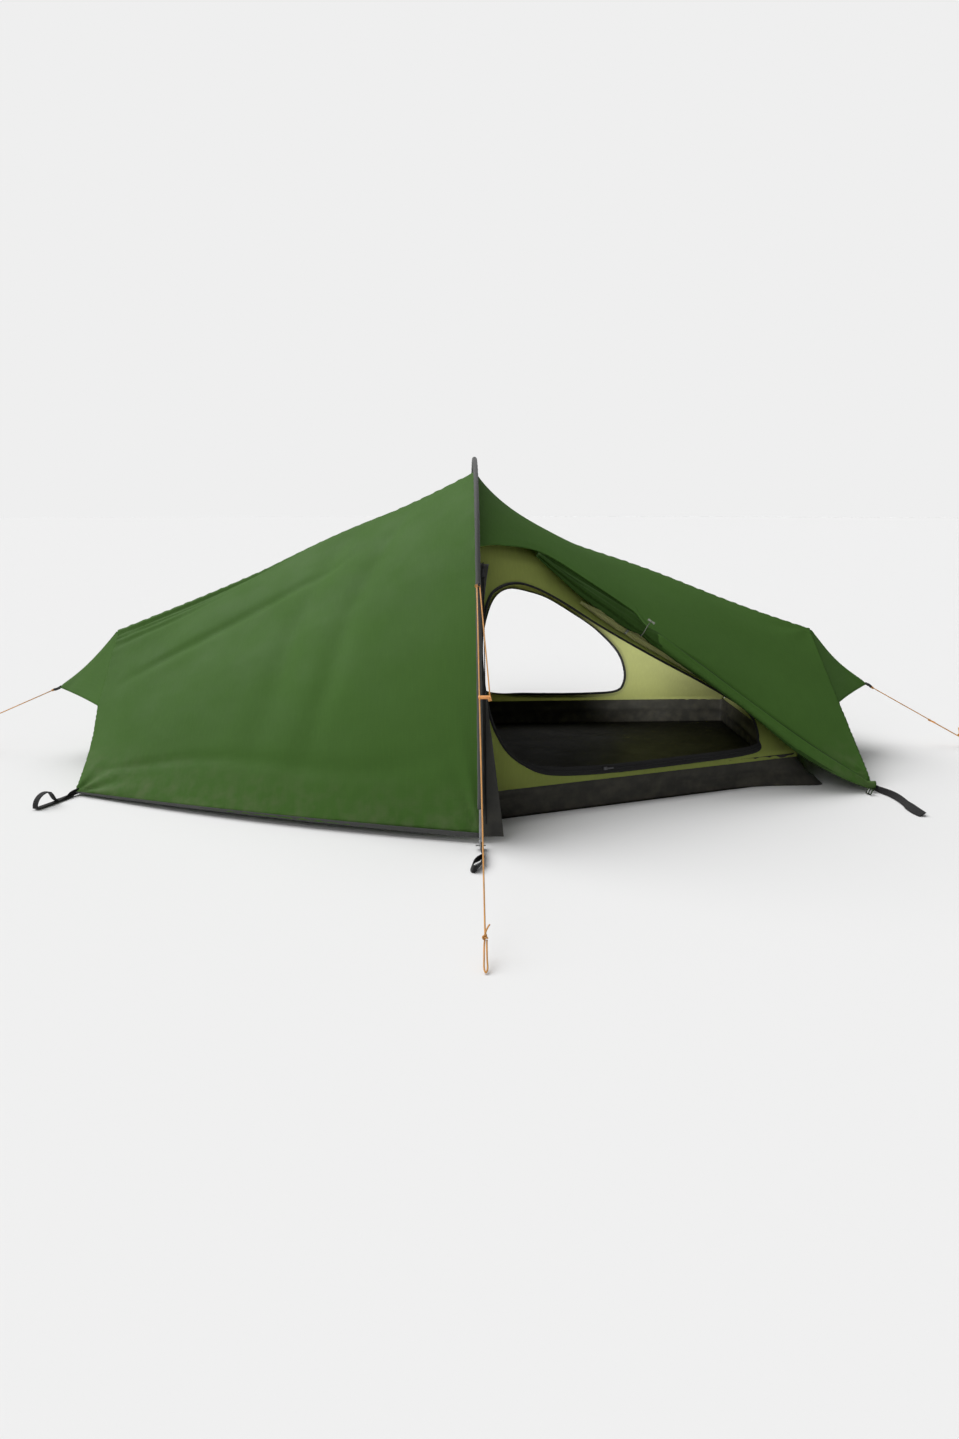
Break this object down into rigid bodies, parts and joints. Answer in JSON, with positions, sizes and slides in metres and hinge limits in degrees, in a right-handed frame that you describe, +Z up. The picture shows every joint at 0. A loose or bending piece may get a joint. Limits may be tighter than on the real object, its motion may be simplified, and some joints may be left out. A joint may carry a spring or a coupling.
{
  "type": "single-hoop backpacking tent",
  "caption": "Low green backpacking tent on one arched pole, with A-shaped hooded ends, rolled-back side doors, olive inner tent and orange guylines.",
  "frame": {"origin": "on the ground, straight below the crown of the pole, at the underside of the groundsheet", "axes": "+X along the ridge to the end whose side doors are rolled back, +Y across the tent away from the near porch, +Z up"},
  "size_m": [3.9632, 3.4378, 1.0508],
  "materials": {
    "fly_green": "coated ripstop, soft sheen",
    "inner_olive": "thin breathable weave",
    "groundsheet_black": "coated, low sheen",
    "grey_webbing": "woven, matte",
    "black_webbing": "woven webbing",
    "vent_mesh": "fine mesh",
    "zip_tape": "zip coil on woven tape",
    "guyline_orange": "braided cord",
    "slider_orange": "moulded plastic",
    "elastic": "covered elastic",
    "pole_alloy": "anodised",
    "ferrule_alloy": "satin",
    "eyelet_metal": "plated",
    "buckle_metal": "bright",
    "zip_metal": "dark enamel",
    "toggle_plastic": "moulded",
    "cap_plastic": "moulded"
  },
  "bodies": {
    "tent": {"pole_section_1": "pole_alloy", "pole_section_2": "pole_alloy", "pole_section_3": "pole_alloy", "pole_section_4": "pole_alloy", "pole_section_5": "pole_alloy", "pole_section_6": "pole_alloy", "pole_section_7": "pole_alloy", "pole_ferrules": "ferrule_alloy", "pole_shock_cord": "elastic", "pole_tips": "ferrule_alloy", "pole_sleeve": "grey_webbing", "end_struts": "pole_alloy", "strut_caps": "cap_plastic", "strut_sleeves": "grey_webbing", "fly_left_near": "fly_green", "fly_left_far": "fly_green", "fly_right_near": "fly_green", "fly_right_far": "fly_green", "left_hood": "fly_green", "right_hood": "fly_green", "left_end_panel": "fly_green", "right_end_panel": "fly_green", "end_vent_meshes": "vent_mesh", "near_door_roll": "fly_green", "far_door_roll": "fly_green", "door_zip_flaps": "grey_webbing", "door_tie_loops": "elastic", "hem_bindings": "grey_webbing", "groundsheet": "groundsheet_black", "bathtub_walls": "groundsheet_black", "inner_left_near": "inner_olive", "inner_left_far": "inner_olive", "inner_right_near": "inner_olive", "inner_right_far": "inner_olive", "inner_left_end": "inner_olive", "inner_right_end": "inner_olive", "inner_door_rolls": "inner_olive", "inner_door_zips": "zip_tape", "inner_hangers": "elastic", "near_guyline": "guyline_orange", "far_guyline": "guyline_orange", "left_guyline": "guyline_orange", "right_guyline": "guyline_orange", "guyline_returns": "guyline_orange", "guy_loops": "grey_webbing", "peg_straps": "black_webbing", "foot_eyelets": "eyelet_metal"},
    "near_door_slider": {"near_door_slider": "zip_metal"},
    "far_door_slider": {"far_door_slider": "zip_metal"},
    "near_door_toggle": {"near_door_toggle": "toggle_plastic"},
    "far_door_toggle": {"far_door_toggle": "toggle_plastic"},
    "near_inner_slider": {"near_inner_slider": "zip_metal"},
    "far_inner_slider": {"far_inner_slider": "zip_metal"},
    "near_guy_slider": {"near_guy_slider": "slider_orange"},
    "far_guy_slider": {"far_guy_slider": "slider_orange"},
    "left_guy_slider": {"left_guy_slider": "slider_orange"},
    "right_guy_slider": {"right_guy_slider": "slider_orange"},
    "right_near_buckle": {"right_near_buckle": "buckle_metal"},
    "right_far_buckle": {"right_far_buckle": "buckle_metal"}
  },
  "joints": [
    {"name": "near_door_zip_run", "type": "hinge", "parent": "tent", "child": "near_door_slider", "pos_m": [0, 0.69507, -0.46759], "axis": [1, 0, 0], "range_deg": [0, 22.5]},
    {"name": "far_door_zip_run", "type": "hinge", "parent": "tent", "child": "far_door_slider", "pos_m": [0, -0.69507, -0.46759], "axis": [-1, 0, 0], "range_deg": [0, 22.5]},
    {"name": "near_toggle_turn", "type": "hinge", "parent": "tent", "child": "near_door_toggle", "pos_m": [0.53925, -0.50831, 0.53769], "axis": [0.125, 0.9922, 0], "range_deg": [-90, 90]},
    {"name": "far_toggle_turn", "type": "hinge", "parent": "tent", "child": "far_door_toggle", "pos_m": [0.53925, 0.50831, 0.53769], "axis": [-0.125, 0.9922, 0], "range_deg": [-90, 90]},
    {"name": "near_inner_zip_run", "type": "slide", "parent": "tent", "child": "near_inner_slider", "axis": [0.9363, 0.3508, -0.0134], "range_m": [-0.19, 0.46]},
    {"name": "far_inner_zip_run", "type": "slide", "parent": "tent", "child": "far_inner_slider", "axis": [0.9996, 0.0232, -0.018], "range_m": [-0.15, 0.26]},
    {"name": "near_line_adjust", "type": "slide", "parent": "tent", "child": "near_guy_slider", "axis": [0, -0.828, -0.5608], "range_m": [-0.38, 0.64], "deforming": ["guyline_returns"]},
    {"name": "far_line_adjust", "type": "slide", "parent": "tent", "child": "far_guy_slider", "axis": [0, 0.828, -0.5608], "range_m": [-0.38, 0.64], "deforming": ["guyline_returns"]},
    {"name": "left_line_adjust", "type": "slide", "parent": "tent", "child": "left_guy_slider", "axis": [-0.9197, 0, -0.3925], "range_m": [-0.31, 0.12], "deforming": ["guyline_returns"]},
    {"name": "right_line_adjust", "type": "slide", "parent": "tent", "child": "right_guy_slider", "axis": [0.8787, 0, -0.4773], "range_m": [-0.24, 0.08], "deforming": ["guyline_returns"]},
    {"name": "near_strap_adjust", "type": "slide", "parent": "tent", "child": "right_near_buckle", "axis": [0.3584, -0.9336, 0], "range_m": [-0.004, 0.028]},
    {"name": "far_strap_adjust", "type": "slide", "parent": "tent", "child": "right_far_buckle", "axis": [0.3584, 0.9336, 0], "range_m": [-0.004, 0.028]}
  ]
}
